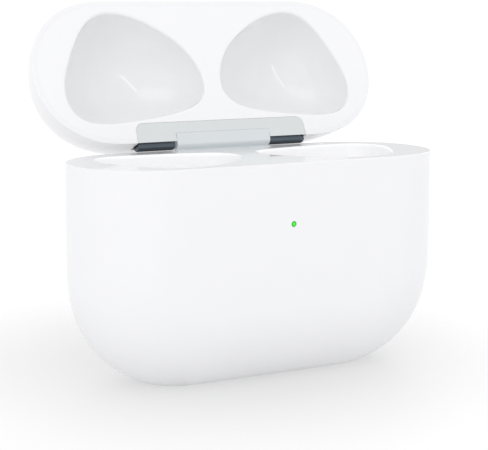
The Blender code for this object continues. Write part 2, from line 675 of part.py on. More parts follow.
def add_charging_inlet(case):
    def level(outline, z):
        return [(x, y, z) for x, y in outline]

    opening = stadium(INLET_LENGTH, INLET_WIDTH)
    collar = stadium(INLET_LENGTH + INLET_COLLAR, INLET_WIDTH + INLET_COLLAR)
    ring_low, ring_high = 0.1 * MM, FLOOR
    ring = skin_rings([level(opening, ring_low), level(collar, ring_low), level(collar, ring_high),
                       level(opening, ring_high)], ring_closed=True)
    make_object("port_ring", ring, HINGE_METAL, case)

    sleeve = 0.3 * MM
    inside = stadium(INLET_LENGTH - 2 * sleeve, INLET_WIDTH - 2 * sleeve)
    cup = skin_rings([level(opening, INLET_BACK), level(opening, INLET_MOUTH), level(inside, INLET_MOUTH),
                      level(inside, INLET_BACK - 0.4 * MM)])
    make_object("port_shell", cup, STEEL, case)

    root, blade = (3.5 * MM, 0.8 * MM), (3.3 * MM, 0.35 * MM)
    root_low, root_high = 6.6 * MM, 7.6 * MM
    tongue = make_object("port_tongue", box((-root[0], -root[1], root_low), (*root, root_high)), BLACK, case)
    tongue_blade = box((-blade[0], -blade[1], INLET_MOUTH + MM), (*blade, root_high - 0.6 * MM), 0.12 * MM)
    shape_with(tongue, "UNION", tongue_blade)

    strap_front, strap_inner, strap_back = -1.4 * MM, 1.7 * MM, 2.3 * MM
    strap_low, strap_high = 8.5 * MM, 14 * MM
    strap_half, thick = 4 * MM, 0.5 * MM
    strap = [(strap_front, strap_low), (strap_back, strap_low), (strap_back, strap_high),
             (strap_inner, strap_high), (strap_inner, strap_low + thick), (strap_front, strap_low + thick)]
    bracket = make_object("port_bracket", prism_x(strap, -strap_half, strap_half), STEEL, case)
    holes = [hole(SCREW_HOLE, MM, 3 * MM, "Y", (x, 0, PORT_SCREW[1])) for x in both_sides(PORT_SCREW[0])]
    shape_with(bracket, "DIFFERENCE", *holes)
    for word, x in zip(("left", "right"), both_sides(PORT_SCREW[0])):
        add_screw(f"port_screw_{word}", case, (x, 1.5 * MM, PORT_SCREW[1]), "Y", True, 2.4 * MM)


# ---------------------------------------------------------------- electronics

def add_main_board(case):
    outline = box((-BOARD_HALF, BOARD_FRONT, 6 * MM), (BOARD_HALF, BOARD_BACK, 20 * MM))
    board = make_object("main_board", outline, BOARD, case)
    holes = [hole(SCREW_HOLE, 5 * MM, 7 * MM, "Y", (x, 0, BOARD_SCREW[1]))
             for x in both_sides(BOARD_SCREW[0])]
    shape_with(board, "DIFFERENCE", *holes)
    for word, x in zip(("left", "right"), both_sides(BOARD_SCREW[0])):
        add_screw(f"board_screw_{word}", case, (x, PART_FRONT, BOARD_SCREW[1]), "Y", False, 3.2 * MM)
    for name, low, high, spec in (
            ("shield_can", (-12 * MM, PART_FRONT, 11 * MM), (-5 * MM, 8 * MM, 18.5 * MM), STEEL),
            ("control_chip", (5 * MM, PART_FRONT, 13 * MM), (9 * MM, 7.4 * MM, 17 * MM), BLACK),
            ("battery_connector", (8.2 * MM, PART_FRONT, 7.2 * MM), (12 * MM, 7.6 * MM, 9.6 * MM),
             WHITE_SATIN)):
        make_object(name, box(low, high, 0.15 * MM), spec, case)


def sided_box(side, inner, outer, depth, height, bevel):
    """Box from inner to outer on one side of the middle; depth and height are (low, high)."""
    xs = sorted((side * inner, side * outer))
    return box((xs[0], depth[0], height[0]), (xs[1], depth[1], height[1]), bevel)


def add_batteries(case):
    cell_inner, cell_outer, cell_bevel = 14.95 * MM, 21.0 * MM, 0.9 * MM
    cell_depth, cell_height = (-6.1 * MM, 4.6 * MM), (6.4 * MM, 18.1 * MM)
    for word, side in (("left", -1), ("right", 1)):
        cell = sided_box(side, cell_inner, cell_outer, cell_depth, cell_height, cell_bevel)
        make_object(f"battery_{word}", cell, CELL, case)
    strip = box((-14.9 * MM, 4.9 * MM, 15.5 * MM), (14.9 * MM, 5.15 * MM, 18.3 * MM))
    make_object("battery_flex", strip, FLEX, case)


def add_charging_coil(case):
    centre = (0, 0, COIL_Z)
    front, back = -8.4 * MM, -7.3 * MM
    section = [(COIL_INNER, front), (COIL_OUTER, front), (COIL_OUTER, back), (COIL_INNER, back)]
    make_object("charging_coil", turned(section, "Y", centre, steps=28, hollow=True), COPPER, case)
    sheet = hole(COIL_OUTER + 0.4 * MM, back + 0.3 * MM, back + 0.9 * MM, "Y", centre, 24)
    make_object("ferrite_sheet", sheet, FERRITE, case)


def add_magnets(case, lid):
    for word, side in (("left", -1), ("right", 1)):
        inner, outer = 1.2 * MM, 4.0 * MM
        catch = sided_box(side, inner, outer, CATCH_DEPTH, CATCH_HEIGHT, SMALL_BEVEL)
        make_object(f"catch_magnet_{word}", catch, MAGNET, case)
        mate = sided_box(side, inner, outer, CATCH_DEPTH, LID_MAGNET_HEIGHT, SMALL_BEVEL)
        make_lid_object(f"lid_magnet_{word}", mate, MAGNET, lid)
        bud = sided_box(side, 16.2 * MM, 19.8 * MM, (-2 * MM, 2 * MM), (18.5 * MM, 20.2 * MM), SMALL_BEVEL)
        make_object(f"bud_magnet_{word}", bud, MAGNET, case)
    half = MM
    sensor = box((-half, SENSOR_DEPTH[0], 27.4 * MM), (half, SENSOR_DEPTH[1], 28.6 * MM), SMALL_BEVEL)
    make_object("lid_sensor", sensor, BLACK, case)
    mate = box((-half, SENSOR_DEPTH[0], 31.5 * MM), (half, SENSOR_DEPTH[1], 32.7 * MM), SMALL_BEVEL)
    make_lid_object("lid_sensor_magnet", mate, MAGNET, lid)


# ---------------------------------------------------------------- assembly

def add_hinge(case, lid):
    add_hinge_body_bracket(case)
    pin = hole(PIN_RADIUS, -PIN_HALF, PIN_HALF, "X", (0, HINGE_Y, HINGE_Z), ROUND_STEPS)
    make_object("hinge_pin", pin, STEEL, case)
    add_hinge_lid_plate(lid)
    for word, side in (("left", -1), ("right", 1)):
        add_hinge_barrel(lid, f"hinge_barrel_{word}", side)
        add_hinge_spring(lid, f"hinge_spring_{word}", side)
        bracket_seat = (side * BRACKET_SCREW[0], BRACKET_SCREW[1], LEAF_FOOT - 0.2 * MM)
        add_screw(f"hinge_body_screw_{word}", case, bracket_seat, "Z", True, 2.6 * MM)
        lid_seat = (side * LID_SCREW[0], LID_LEAF_BACK + 0.1 * MM, LID_SCREW[1])
        add_screw(f"hinge_lid_screw_{word}", lid, lid_seat, "Y", False, 2.0 * MM, lid=True)


def centre_on_origin(case):
    """Slide the case along Y until the box round the opened case is centred."""
    bpy.context.view_layer.update()
    reach = [(piece.matrix_world @ vertex.co).y for piece in bpy.data.objects
             if piece.type == "MESH" and not piece.hide_render for vertex in piece.data.vertices]
    case.location.y = -(min(reach) + max(reach)) / 2


def build():
    clear_scene()
    case = make_empty("case_frame", (0, 0, 0))
    lid = make_empty("lid_axis", (0, HINGE_Y, HINGE_Z), case)
    lid.rotation_euler.x = -OPEN_ANGLE
    add_body_shell(case)
    add_earbud_tray(case)
    add_status_light(case)
    add_setup_button(case)
    add_charging_inlet(case)
    add_main_board(case)
    add_batteries(case)
    add_charging_coil(case)
    add_contacts(case)
    add_lid_shell(lid)
    add_lid_liner(lid)
    add_hinge(case, lid)
    add_magnets(case, lid)
    centre_on_origin(case)


build()
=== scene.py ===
"""Visual model of an open wireless earbuds case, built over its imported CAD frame."""

import json
import math

import bmesh
import bpy
import numpy as np
from mathutils import Matrix, Vector


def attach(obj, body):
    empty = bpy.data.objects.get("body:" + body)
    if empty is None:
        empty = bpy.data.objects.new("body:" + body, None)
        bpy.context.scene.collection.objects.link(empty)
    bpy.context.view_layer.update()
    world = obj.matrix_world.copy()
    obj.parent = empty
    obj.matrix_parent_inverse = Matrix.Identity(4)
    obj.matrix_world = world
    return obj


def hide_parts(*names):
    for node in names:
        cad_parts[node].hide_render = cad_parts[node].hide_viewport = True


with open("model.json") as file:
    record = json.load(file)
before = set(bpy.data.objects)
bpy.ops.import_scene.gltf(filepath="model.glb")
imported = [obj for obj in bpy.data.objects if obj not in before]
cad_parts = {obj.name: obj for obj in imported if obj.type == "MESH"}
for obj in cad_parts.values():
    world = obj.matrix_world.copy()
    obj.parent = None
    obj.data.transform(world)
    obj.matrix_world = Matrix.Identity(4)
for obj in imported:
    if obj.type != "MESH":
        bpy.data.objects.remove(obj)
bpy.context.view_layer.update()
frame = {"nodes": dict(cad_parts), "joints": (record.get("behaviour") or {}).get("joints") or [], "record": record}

MM = 0.001
JOINTS = {joint["name"]: joint for joint in frame["joints"]}
HINGE_PLACE = Vector(JOINTS["lid_hinge"]["pos_m"])
OPEN_ANGLE = math.radians(JOINTS["lid_hinge"]["range_deg"][1])

# Sizes down to the step counts are in millimetres, in the frame of the closed case: foot at z = 0,
# middle on the Z axis, front towards -Y.
WIDTH, DEPTH, HEIGHT = 54.4, 21.3, 44.8
FRONT, BACK = -DEPTH / 2, DEPTH / 2
FOOT_TRIM = 1.0                         # how much of the rounded underside the flat foot cuts off
CORNER_RADIUS, CORNER_POWER = 16.85, 2.27
EDGE_RADIUS, EDGE_POWER = 11.6, 2.11
MIDDLE_Z = (HEIGHT - FOOT_TRIM) / 2
HALF_HEIGHT = (HEIGHT + FOOT_TRIM) / 2
BODY_TOP, LID_BASE = 29.95, 30.15
WALL, LID_WALL, FLOOR = 1.4, 0.95, 1.3
RIM, RIM_HEIGHT = 0.7, 1.3
RIM_FILLET = 0.13
INSERT_GAP, INSERT_PLATE = 0.006, 1.0

HINGE_Y, HINGE_Z = 10.15, 31.35
KNUCKLE_RADIUS, KNUCKLE_HALF = 1.42, 7.5
KNUCKLE_FLAT, FLAT_FACING = 1.2, math.radians(164)
KNUCKLE_CLEARANCE = 0.012
BARREL_RADIUS, BARREL_START, BARREL_END = 1.3, 7.7, 13.4
PIN_BORE = 0.5
HINGE_BACK = 11.1
LEAF_FRONT, LEAF_BACK, LEAF_FOOT, LEAF_TOP = 8.75, 9.15, 25.9, 30.05
NECK_FRONT, NECK_BACK, NECK_START = 9.45, 9.9, 28.95
PLATE_HALF, PLATE_FRONT, PLATE_BACK = 13.55, 7.75, 10.6
PLATE_CORNER, PLATE_THICK = 1.25, 0.35
LID_LEAF_FRONT, LID_LEAF_BACK, LID_LEAF_TOP = 8.15, 8.55, 35.8

HOLLOW_OUTLINE = [(1.5, 1.2), (3.3, -2.9), (6.7, -6.0), (10.6, -8.1), (14.9, -8.8), (18.6, -6.7),
                  (21.6, -1.5), (22.8, 3.2), (20.6, 6.9), (14.5, 7.4), (7.5, 6.5), (2.6, 4.7)]
HOLLOW_CENTRE = (13.2, 0.3)
HOLLOW_DEPTH = 9.2
WELL_SCALE, WELL_DEPTH = 0.95, 9.5
BORE_X, BORE_RADIUS, BORE_FLOOR = 10.0, 3.8, 6.0
SKIN, LID_SKIN = 0.8, 0.6
MOUTH_FILLET = 0.4

LED_Z, LED_RADIUS, LED_GAP = 21.8, 0.37, 0.02
BUTTON_Z, BUTTON_RADIUS, BUTTON_GAP = 17.8, 2.55, 0.2
BUTTON_SINK = 0.05
INLET_LENGTH, INLET_WIDTH, INLET_COLLAR = 8.9, 3.1, 1.5
INLET_MOUTH, INLET_BACK = 1.6, 8.2
PIN_SPACING, PIN_TIP, PIN_HOLE = 2.8, 6.9, 0.5

RING_STEPS = 240
OUTLINE_STEPS = 144
ROUND_STEPS, FINE_STEPS, COARSE_STEPS, LIGHT_STEPS = 64, 96, 32, 48
BEVEL_ANGLE, SHARP_ANGLE = math.radians(40), math.radians(38)

# From the closed case to the frame's metres, for what stays put and for what opens with the lid.
CASE = Matrix.Translation((0, HINGE_PLACE.y - HINGE_Y * MM, 0)) @ Matrix.Scale(MM, 4)
LID = (Matrix.Translation(HINGE_PLACE) @ Matrix.Rotation(-OPEN_ANGLE, 4, "X") @ Matrix.Scale(MM, 4)
       @ Matrix.Translation((0, -HINGE_Y, -HINGE_Z)))


# ---------------------------------------------------------------- materials

COLOUR_GRAIN, ROUGHNESS_GRAIN = 180.0, 420.0   # noise scales, per metre
BUMP_DEPTH = 0.00002                           # metres


def noise(tree, scale, detail=2.0):
    """Noise in the piece's own coordinates, in metres."""
    nodes, links = tree.nodes, tree.links
    place = nodes.new("ShaderNodeTexCoord")
    texture = nodes.new("ShaderNodeTexNoise")
    texture.inputs["Scale"].default_value = scale
    texture.inputs["Detail"].default_value = detail
    links.new(place.outputs["Object"], texture.inputs["Vector"])
    return texture.outputs["Fac"]


def spread(tree, source, low, high):
    """Map a noise value onto low to high."""
    node = tree.nodes.new("ShaderNodeMapRange")
    node.inputs["From Min"].default_value = 0.3
    node.inputs["From Max"].default_value = 0.7
    node.inputs["To Min"].default_value = low
    node.inputs["To Max"].default_value = high
    tree.links.new(source, node.inputs["Value"])
    return node.outputs["Result"]


def finish(name, colour, roughness, metallic=0.0, vary=0.01, rough_vary=0.15, grain=900.0, bump=0.02,
           glow=0.0, sockets=()):
    """Principled material whose colour, roughness and surface all vary a little."""
    material = bpy.data.materials.new(name)
    material.use_nodes = True
    tree = material.node_tree
    shader = tree.nodes["Principled BSDF"]
    mix = tree.nodes.new("ShaderNodeMix")
    mix.data_type = "RGBA"
    mix.inputs["A"].default_value = (*(c * (1 - vary) for c in colour), 1)
    mix.inputs["B"].default_value = (*(min(c * (1 + vary), 1) for c in colour), 1)
    tree.links.new(spread(tree, noise(tree, COLOUR_GRAIN), 0.0, 1.0), mix.inputs["Factor"])
    tree.links.new(mix.outputs["Result"], shader.inputs["Base Color"])
    smoother, rougher = roughness * (1 - rough_vary), roughness * (1 + rough_vary)
    polish = spread(tree, noise(tree, ROUGHNESS_GRAIN, 3.0), smoother, rougher)
    tree.links.new(polish, shader.inputs["Roughness"])
    shader.inputs["Metallic"].default_value = metallic
    relief = tree.nodes.new("ShaderNodeBump")
    relief.inputs["Strength"].default_value = bump
    relief.inputs["Distance"].default_value = BUMP_DEPTH
    tree.links.new(noise(tree, grain, 4.0), relief.inputs["Height"])
    tree.links.new(relief.outputs["Normal"], shader.inputs["Normal"])
    if glow:
        tree.links.new(mix.outputs["Result"], shader.inputs["Emission Color"])
        shader.inputs["Emission Strength"].default_value = glow
    for socket, value in sockets:
        shader.inputs[socket].default_value = value
    return material


LOOKS = {
    "white_gloss": finish("white_gloss", (0.858, 0.86, 0.875), 0.045, vary=0.004, grain=300.0, bump=0.01),
    "white_satin": finish("white_satin", (0.872, 0.874, 0.887), 0.035, vary=0.004, grain=300.0, bump=0.01),
    # Brighter white with a faint glow for the inside of the wells: painted light that makes the wells brighter
    # than the tray round them.
    "well_painted_light": finish("well_painted_light", (0.955, 0.957, 0.965), 0.035, vary=0.003, grain=300.0, bump=0.01,
                         glow=0.015),
    "hinge_metal": finish("hinge_metal", (0.71, 0.74, 0.75), 0.3, 1.0, vary=0.006, grain=2500.0, bump=0.012),
    # Darker copy of the hinge metal with a strong glow for the knuckle: painted light, which keeps its down-facing
    # side from going dark in its shadow.
    "knuckle_metal_painted_glow": finish("knuckle_metal_painted_glow", (0.47, 0.495, 0.505), 0.32, 1.0, vary=0.006, grain=2500.0,
                           bump=0.012, glow=0.5),
    # Near-black metal for the hinge barrels, as dark as the hinge slots look: partly the barrels' own dark metal,
    # partly the slots' shade painted into their colour.
    "dark_metal": finish("dark_metal", (0.10, 0.12, 0.14), 0.35, 1.0, vary=0.05, grain=2500.0, bump=0.08),
    "steel": finish("steel", (0.62, 0.62, 0.63), 0.28, 1.0, vary=0.03, bump=0.08),
    "magnet": finish("magnet", (0.55, 0.55, 0.57), 0.2, 1.0, vary=0.03),
    "gold": finish("gold", (0.90, 0.68, 0.32), 0.22, 1.0, vary=0.03),
    "copper": finish("copper", (0.72, 0.38, 0.22), 0.35, 1.0, vary=0.05, grain=3000.0, bump=0.2),
    "board": finish("board", (0.03, 0.14, 0.08), 0.45, vary=0.1, bump=0.08),
    "black_plastic": finish("black_plastic", (0.03, 0.03, 0.035), 0.45, vary=0.1, bump=0.08),
    "ferrite": finish("ferrite", (0.07, 0.07, 0.08), 0.7, vary=0.1, bump=0.15),
    "cell_wrap": finish("cell_wrap", (0.35, 0.36, 0.38), 0.35, 1.0, vary=0.05, grain=1500.0, bump=0.1),
    "flex": finish("flex", (0.55, 0.28, 0.08), 0.4, vary=0.05, bump=0.05),
    "clear_guide": finish("clear_guide", (0.85, 0.87, 0.86), 0.1, vary=0.01,
                          sockets=[("Transmission Weight", 0.8)]),
    "green_light": finish("green_light", (0.025, 0.56, 0.018), 0.3, vary=0.02, glow=0.95),
    "green_edge": finish("green_edge", (0.008, 0.30, 0.012), 0.3, vary=0.02, glow=0.85),
}
for entry in frame["record"]["subparts"]:
    node = frame["nodes"][entry["node"]]
    node.data.materials.clear()
    node.data.materials.append(LOOKS[entry["material_slot"]])


# ---------------------------------------------------------------- mesh helpers

def skin(rings, loop=False):
    """Join equal rings of points with quads. The ends are capped unless they meet in a loop."""
    mesh = bmesh.new()
    rows = [[mesh.verts.new(point) for point in ring] for ring in rings]
    pairs = list(zip(rows, rows[1:]))
    if loop:
        pairs.append((rows[-1], rows[0]))
    else:
        mesh.faces.new(rows[0])
        mesh.faces.new(rows[-1])
    for low, high in pairs:
        for i in range(len(low)):
            j = (i + 1) % len(low)
            mesh.faces.new((low[i], low[j], high[j], high[i]))
    bmesh.ops.recalc_face_normals(mesh, faces=mesh.faces)
    return mesh


def level(outline, z):
    """Lay a list of (x, y) at one height."""
    return [(x, y, z) for x, y in outline]


def prism(outline, low, high):
    """Straight prism along Z from a list of (x, y)."""
    return skin([level(outline, low), level(outline, high)])


def prism_x(outline, low, high):
    """Straight prism along X from a list of (y, z)."""
    return skin([[(x, y, z) for y, z in outline] for x in (low, high)])


def block(low, high, bevel=0.0):
    """Box between two corners, with rounded edges if bevel is given."""
    low, high = Vector(low), Vector(high)
    mesh = bmesh.new()
    place = Matrix.Translation((low + high) / 2) @ Matrix.Diagonal((*(high - low), 1))
    bmesh.ops.create_cube(mesh, size=1.0, matrix=place)
    if bevel:
        bmesh.ops.bevel(mesh, geom=mesh.edges[:], offset=bevel, segments=3, profile=0.5, affect="EDGES")
    return mesh


def turned(profile, axis="Z", centre=(0, 0, 0), steps=ROUND_STEPS, loop=False):
    """Revolve (radius, height) points round an axis through centre."""
    turn = {"X": Matrix.Rotation(math.pi / 2, 4, "Y"), "Y": Matrix.Rotation(-math.pi / 2, 4, "X"),
            "Z": Matrix.Identity(4)}[axis]
    place = Matrix.Translation(centre) @ turn
    angles = [2 * math.pi * (i + 0.5) / steps for i in range(steps)]
    rings = [[place @ Vector((r * math.cos(a), r * math.sin(a), h)) for a in angles] for r, h in profile]
    return skin(rings, loop)


def arc(centre, radius, start, stop, steps):
    """Points on an arc in a plane, angles in degrees."""
    return [(centre[0] + radius * math.cos(math.radians(a)), centre[1] + radius * math.sin(math.radians(a)))
            for a in np.linspace(start, stop, steps + 1)]


def stadium(length, width, steps=24):
    """Slot outline with round ends."""
    radius, straight = width / 2, (length - width) / 2
    return arc((straight, 0), radius, -90, 90, steps) + arc((-straight, 0), radius, 90, 270, steps)


def temporary(mesh):
    """Scene object for a Boolean to work on."""
    data = bpy.data.meshes.new("cutter")
    mesh.to_mesh(data)
    mesh.free()
    thing = bpy.data.objects.new("cutter", data)
    bpy.context.scene.collection.objects.link(thing)
    return thing


def combine(base, steps):
    """Apply exact Booleans to a bmesh. steps is a list of (operation, bmesh)."""
    target = temporary(base)
    tools = []
    for operation, mesh in steps:
        tool = temporary(mesh)
        tools.append(tool)
        boolean = target.modifiers.new("boolean", "BOOLEAN")
        boolean.operation = operation
        boolean.solver = "EXACT"
        boolean.object = tool
    graph = bpy.context.evaluated_depsgraph_get()
    result = bmesh.new()
    result.from_mesh(target.evaluated_get(graph).to_mesh())
    for thing in [target, *tools]:
        data = thing.data
        bpy.data.objects.remove(thing)
        bpy.data.meshes.remove(data)
    bmesh.ops.remove_doubles(result, verts=result.verts, dist=1e-5)
    return result


def soften(mesh, width):
    """Round the sharp edges of a bmesh."""
    edges = [e for e in mesh.edges if len(e.link_faces) == 2 and e.calc_face_angle(0) > BEVEL_ANGLE]
    bmesh.ops.bevel(mesh, geom=edges, offset=width, segments=2, profile=0.5, affect="EDGES",
                    clamp_overlap=True)
    return mesh


def piece(name, mesh, look, body, place, stands_for=()):
    """Make the object, move it into the part's frame, hang it on its body and hide the CAD parts it stands for."""
    data = bpy.data.meshes.new(name)
    mesh.transform(place)
    mesh.to_mesh(data)
    mesh.free()
    data.shade_smooth()
    data.set_sharp_from_angle(angle=SHARP_ANGLE)
    data.materials.append(LOOKS[look])
    thing = bpy.data.objects.new(name, data)
    bpy.context.scene.collection.objects.link(thing)
    even = thing.modifiers.new("even_normals", "WEIGHTED_NORMAL")
    even.keep_sharp = True
    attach(thing, body)
    if stands_for:
        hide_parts(*stands_for)
    return thing


# ---------------------------------------------------------------- pebble shape of the case

def half_depth(x, z, inset):
    """Half the thickness at (x, z) of the case shrunk by inset all round."""
    across = abs(x) - (WIDTH / 2 - CORNER_RADIUS)
    rise = abs(z - MIDDLE_Z) - (HALF_HEIGHT - CORNER_RADIUS)
    corner = (max(across, 0) ** CORNER_POWER + max(rise, 0) ** CORNER_POWER) ** (1 / CORNER_POWER)
    margin = CORNER_RADIUS - corner - min(max(across, rise), 0) - inset
    fall = 1 - min(max(margin / (EDGE_RADIUS - inset), 0), 1)
    return (DEPTH / 2 - inset) * max(1 - fall ** EDGE_POWER, 0) ** (1 / EDGE_POWER)


def half_width(z, inset):
    """Half the width at height z of the case shrunk by inset all round."""
    rise = abs(z - MIDDLE_Z) - (HALF_HEIGHT - CORNER_RADIUS)
    radius = CORNER_RADIUS - inset
    if rise <= 0:
        return WIDTH / 2 - inset
    reach = max(radius ** CORNER_POWER - rise ** CORNER_POWER, 0) ** (1 / CORNER_POWER)
    return WIDTH / 2 - CORNER_RADIUS + reach


def case_ring(z, inset=0.0, at=None):
    """Level ring of points round the case. at is the height where its outline is taken."""
    shape_z = z if at is None else at
    width = half_width(shape_z, inset)
    ring = []
    for i in range(RING_STEPS):
        angle = 2 * math.pi * i / RING_STEPS
        x = width * math.cos(angle)
        side = math.copysign(1, math.sin(angle)) if i % (RING_STEPS // 2) else 0
        ring.append((x, side * half_depth(x, shape_z, inset), z))
    return ring


def edge_heights(inset, start, stop, steps):
    """Distances in from the crown or the underside, closer together where the edge curves most."""
    radius = EDGE_RADIUS - inset
    first, last = math.acos(1 - (start - inset) / radius), math.acos(1 - (stop - inset) / radius)
    return [inset + radius * (1 - math.cos(a)) for a in np.linspace(first, last, steps + 1)]


def rim_rings(edge, away):
    """Rings over the rim: outer fillet and flat top. away is +1 for the body, -1 for the lid."""
    rings = [case_ring(edge - away * RIM_FILLET * (1 - math.sin(a)), RIM_FILLET * (1 - math.cos(a)))
             for a in np.radians(np.linspace(0, 90, 7))]
    return rings + [case_ring(edge, RIM, edge)]


# ---------------------------------------------------------------- shells

def light_hole():
    """Cutter for the status light's hole, with a rounded lip at the front face."""
    radius = LED_RADIUS + LED_GAP
    profile = [(radius + 0.05, FRONT - 1), (radius + 0.05, FRONT + 0.002), (radius + 0.015, FRONT + 0.02),
               (radius, FRONT + 0.06), (radius, FRONT + 2)]
    return turned(profile, "Y", (0, 0, LED_Z), LIGHT_STEPS)


def button_hole():
    """Cutter for the button's hole, with a rounded lip at the rear face."""
    radius = BUTTON_RADIUS + BUTTON_GAP
    profile = [(radius, BACK - 2), (radius, BACK - 0.16), (radius + 0.03, BACK - 0.06),
               (radius + 0.12, BACK - 0.005), (radius + 0.12, BACK + 1)]
    return turned(profile, "Y", (0, 0, BUTTON_Z), FINE_STEPS)


def inlet_hole():
    """Cutter for the charging inlet, with a rounded lip at the foot."""
    lip, reach = 0.12, INLET_COLLAR + 0.4
    steps = ((lip, -1), (lip, 0.01), (lip * 0.3, lip * 0.35), (0, lip), (0, FLOOR + 1))
    return skin([level(stadium(INLET_LENGTH + reach + 2 * grow, INLET_WIDTH + reach + 2 * grow), z)
                 for grow, z in steps])


def body_shell():
    """Lower shell: outside, rim and inside in one skin, less its three holes."""
    low = MIDDLE_Z - HALF_HEIGHT
    outer = [low + h for h in edge_heights(0.0, FOOT_TRIM, EDGE_RADIUS, 30)]
    outer += list(np.linspace(low + EDGE_RADIUS, low + CORNER_RADIUS, 9)[1:])
    outer += list(np.linspace(low + CORNER_RADIUS, BODY_TOP - RIM_FILLET, 12)[1:-1])
    inner = [low + h for h in edge_heights(WALL, FOOT_TRIM + FLOOR, EDGE_RADIUS, 10)]
    inner += [low + CORNER_RADIUS, BODY_TOP - RIM_HEIGHT]
    rings = [case_ring(z) for z in outer] + rim_rings(BODY_TOP, 1)
    rings += [case_ring(BODY_TOP - RIM_HEIGHT, RIM)] + [case_ring(z, WALL) for z in reversed(inner)]
    cuts = [("DIFFERENCE", cutter) for cutter in (button_hole(), inlet_hole(), light_hole())]
    piece("body_shell_look", combine(skin(rings), cuts), "white_gloss", "base", CASE, ["body_shell"])


def lid_shell():
    """Upper shell, notched at the back for the hinge."""
    high = MIDDLE_Z + HALF_HEIGHT
    tip = 0.004                         # how far below the crown the topmost ring lies
    outer = [high - h for h in edge_heights(0.0, tip, EDGE_RADIUS, 34)]
    outer += list(np.linspace(high - EDGE_RADIUS, LID_BASE + RIM_FILLET, 7)[1:-1])
    inner = [high - h for h in edge_heights(LID_WALL, LID_WALL + 2 * tip, EDGE_RADIUS, 12)]
    rings = [case_ring(z) for z in outer] + rim_rings(LID_BASE, -1)
    rings += [case_ring(LID_BASE + RIM_HEIGHT, RIM), case_ring(LID_BASE + RIM_HEIGHT, LID_WALL)]
    rings += [case_ring(z, LID_WALL) for z in reversed(inner)]
    gap = 0.04
    notch = block((-PLATE_HALF - gap, HINGE_Y - 1.6, LID_BASE - 1),
                  (PLATE_HALF + gap, DEPTH, HINGE_Z + KNUCKLE_RADIUS + 0.25))
    shell = combine(skin(rings), [("DIFFERENCE", notch)])
    piece("lid_shell_look", shell, "white_gloss", "lid", LID, ["lid_shell"])


# ---------------------------------------------------------------- moulded inserts

def closed_spline(points, steps):
    """Smooth closed curve through the points, resampled at even distances."""
    points = np.array(points, float)
    count = len(points)
    system = 4 * np.eye(count) + np.roll(np.eye(count), 1, 0) + np.roll(np.eye(count), -1, 0)
    bend = np.linalg.solve(system, 6 * (np.roll(points, -1, 0) - 2 * points + np.roll(points, 1, 0)))
    following, next_bend = np.roll(points, -1, 0), np.roll(bend, -1, 0)
    curve = []
    for k in range(count):
        for t in np.arange(0, 1, 0.02):
            curve.append((1 - t) * points[k] + t * following[k]
                         + ((1 - t) ** 3 - (1 - t)) / 6 * bend[k] + (t ** 3 - t) / 6 * next_bend[k])
    curve = np.array(curve + [curve[0]])
    length = np.concatenate([[0], np.cumsum(np.linalg.norm(np.diff(curve, axis=0), axis=1))])
    stops = np.linspace(0, length[-1], steps, endpoint=False)
    return np.column_stack([np.interp(stops, length, curve[:, k]) for k in (0, 1)])


EGG = closed_spline(HOLLOW_OUTLINE, OUTLINE_STEPS)


def egg(side, scale=1.0):
    """Outline of a hollow's mouth, on the right for side 1 and on the left for side -1."""
    return (np.array(HOLLOW_CENTRE) + (EGG - HOLLOW_CENTRE) * scale) * (side, 1)


def grown(outline, amount):
    """Push an outline out along its own normals."""
    along = np.roll(outline, -1, 0) - np.roll(outline, 1, 0)
    out = np.column_stack([along[:, 1], -along[:, 0]])
    out /= np.linalg.norm(out, axis=1)[:, None]
    middle = outline.mean(0)
    if ((outline - middle) * out).sum() < 0:
        out = -out
    return outline + amount * out


def mouth_rings(outline, top, inward):
    """Fillet from a flat face into a hollow. inward is -1 for a well and +1 for a lid hollow."""
    rings = [level(grown(outline, MOUTH_FILLET * 0.93), top - inward)]
    for a in np.radians(np.linspace(4, 90, 8)):
        rings.append(level(grown(outline, MOUTH_FILLET * (1 - math.sin(a))),
                           top + inward * MOUTH_FILLET * (1 - math.cos(a))))
    return rings


def well_rings(side, extra):
    """Bowl of one well from its mouth down to the stem bore's floor. extra is its wall, 0 for the hollow."""
    centre = np.array((side * BORE_X, 0.0))
    rim = grown(egg(side, WELL_SCALE), extra)
    towards = (rim - centre) / np.linalg.norm(rim - centre, axis=1)[:, None]
    bore = centre + (BORE_RADIUS + extra) * towards
    start = BODY_TOP - (MOUTH_FILLET if not extra else INSERT_PLATE / 2)
    depth = WELL_DEPTH + extra - (BODY_TOP - start)
    rings = []
    for share in np.linspace(0, 1, 25):
        wide = (1 - share ** 1.8) ** 0.75
        rings.append(level(bore + (rim - bore) * wide, start - depth * share))
    floor = BORE_FLOOR - extra
    soft = 0.5
    rings.append(level(bore, floor + soft))
    for a in np.radians((30, 60, 90)):
        rings.append(level(centre + (BORE_RADIUS + extra - soft * (1 - math.cos(a))) * towards,
                           floor + soft * (1 - math.sin(a))))
    return rings


def hollow_rings(side, extra):
    """Dome of one lid hollow from its mouth up. extra is its wall, 0 for the hollow."""
    centre = np.array(HOLLOW_CENTRE) * (side, 1)
    rim = grown(egg(side), extra)
    start = LID_BASE + (MOUTH_FILLET if not extra else INSERT_PLATE / 2)
    depth = HOLLOW_DEPTH + extra - (start - LID_BASE)
    return [level(centre + (rim - centre) * math.cos(a), start + depth * math.sin(a))
            for a in np.radians(np.linspace(0, 89, 34))]


def insert_face(edge, away):
    """Face plate of an insert, flush with the rim round it."""
    return skin([level([point[:2] for point in case_ring(edge, RIM + INSERT_GAP)], z)
                 for z in (edge - away * INSERT_PLATE, edge)])


def contact_places():
    """Name and X of each spring contact, two at the foot of each stem bore."""
    return [(word, side * BORE_X + step * PIN_SPACING / 2)
            for word, side, step in (("left_outer", -1, -1), ("left_inner", -1, 1), ("right_inner", 1, -1),
                                     ("right_outer", 1, 1))]


